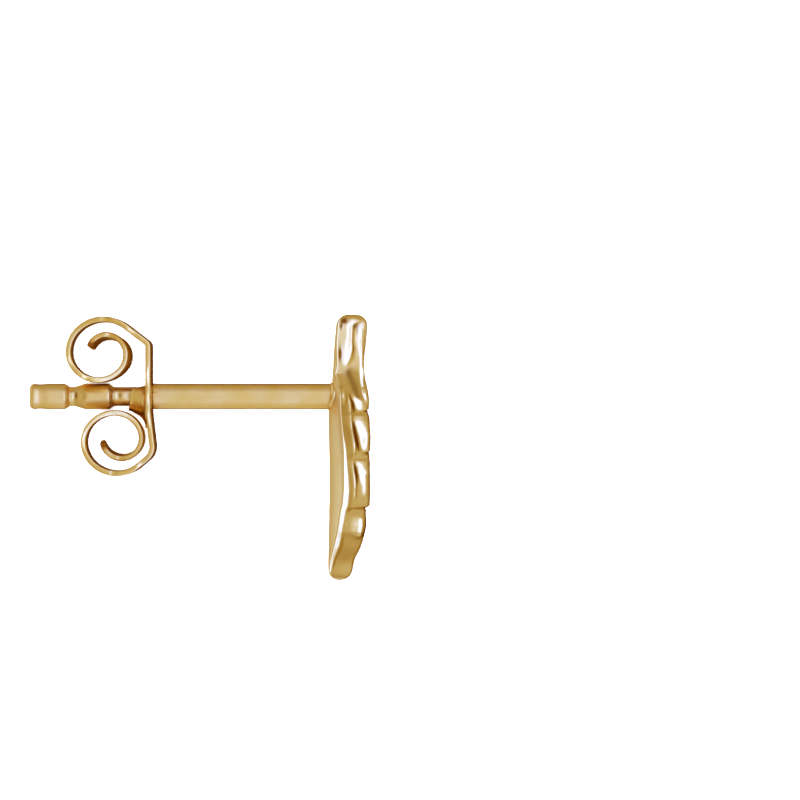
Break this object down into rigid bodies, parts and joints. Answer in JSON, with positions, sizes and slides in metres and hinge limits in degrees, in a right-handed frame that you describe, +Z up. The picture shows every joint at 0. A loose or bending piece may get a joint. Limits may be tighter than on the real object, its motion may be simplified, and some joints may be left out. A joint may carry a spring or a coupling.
{
  "type": "feather stud earring with butterfly clutch",
  "caption": "Gold feather stud earring lying on its side, with a grooved post and a sliding butterfly clutch.",
  "frame": {"origin": "middle of the box's bottom, on the surface that the earring lies on", "axes": "+X along the post towards the feather's front, +Y up the feather towards the quill's end, +Z up"},
  "size_m": [0.0116, 0.009, 0.003],
  "materials": {
    "polished_gold": "polished, satin on the feather's back",
    "clutch_gold": "polished, with soft stamping marks"
  },
  "bodies": {
    "stud": {"feather_stud": "polished_gold"},
    "clutch": {"butterfly_clutch": "clutch_gold"}
  },
  "joints": [
    {"name": "clutch_slide", "type": "slide", "parent": "stud", "child": "clutch", "axis": [1, 0, 0], "range_m": [-0.0045, 0.0057]}
  ]
}
